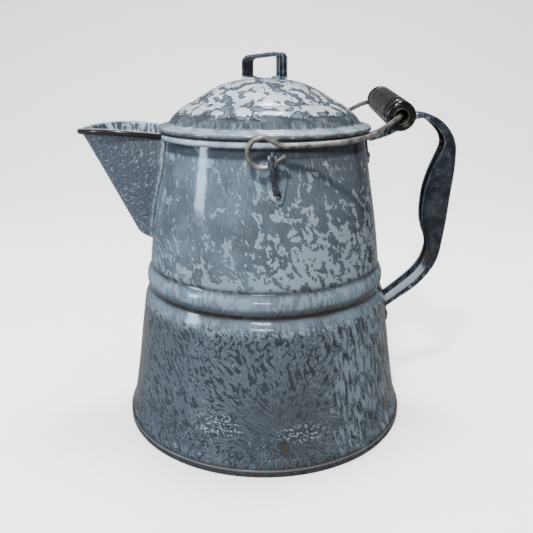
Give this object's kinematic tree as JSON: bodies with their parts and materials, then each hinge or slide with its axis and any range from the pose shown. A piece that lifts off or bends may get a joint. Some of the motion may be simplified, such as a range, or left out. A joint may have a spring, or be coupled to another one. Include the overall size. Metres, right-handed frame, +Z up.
{
  "type": "coffee boiler",
  "caption": "Enamelled steel camp coffee boiler: conical body, V spout with strainer, lift-off domed lid, swinging wire bail with wooden grip and a rear pouring handle.",
  "frame": {"origin": "centre of the base, on the table", "axes": "+Z up, spout towards -X, rear handle towards +X, bail hinge axis along Y"},
  "size_m": [0.3044, 0.2384, 0.297],
  "materials": {
    "enamel": "glossy vitreous enamel on sheet steel, light blue-grey mottles over slate grey",
    "dark_enamel": "dark slate enamel with light specks, worn to rusty steel at the folds",
    "wire": "dull tinned steel wire",
    "grip_paint": "turned hardwood under glossy black paint, worn to brown patches",
    "liner": "thin pale metal tube",
    "rivet": "enamelled over with the sheet"
  },
  "bodies": {
    "pot": {"body_shell": "enamel", "bottom_pan": "enamel", "rim_wire": "wire", "spout_shell": "enamel", "spout_lip_wire": "wire", "rear_handle": "dark_enamel", "handle_top_rivet_near": "rivet", "handle_top_rivet_far": "rivet", "handle_bottom_rivet_near": "rivet", "handle_bottom_rivet_far": "rivet", "bail_ear_near": "enamel", "bail_ear_far": "enamel", "ear_near_rivet_upper": "rivet", "ear_near_rivet_lower": "rivet", "ear_far_rivet_upper": "rivet", "ear_far_rivet_lower": "rivet"},
    "lid": {"lid_shell": "enamel", "lid_collar": "enamel", "lid_handle": "dark_enamel", "lid_handle_rivet_left": "rivet", "lid_handle_rivet_right": "rivet"},
    "bail": {"bail_wire": "wire"},
    "grip": {"bail_grip": "grip_paint", "grip_liner": "liner"}
  },
  "joints": [
    {"name": "lid_lift", "type": "slide", "parent": "pot", "child": "lid", "axis": [0, 0, 1], "range_m": [0, 0.12]},
    {"name": "bail_swing", "type": "hinge", "parent": "pot", "child": "bail", "pos_m": [-0.001, 0, 0.2333], "axis": [0, -1, 0], "range_deg": [0, 150]},
    {"name": "grip_spin", "type": "hinge", "parent": "bail", "child": "grip", "pos_m": [0.099, 0, 0.2575], "axis": [0, 0.9962, 0.0872], "continuous": true}
  ]
}
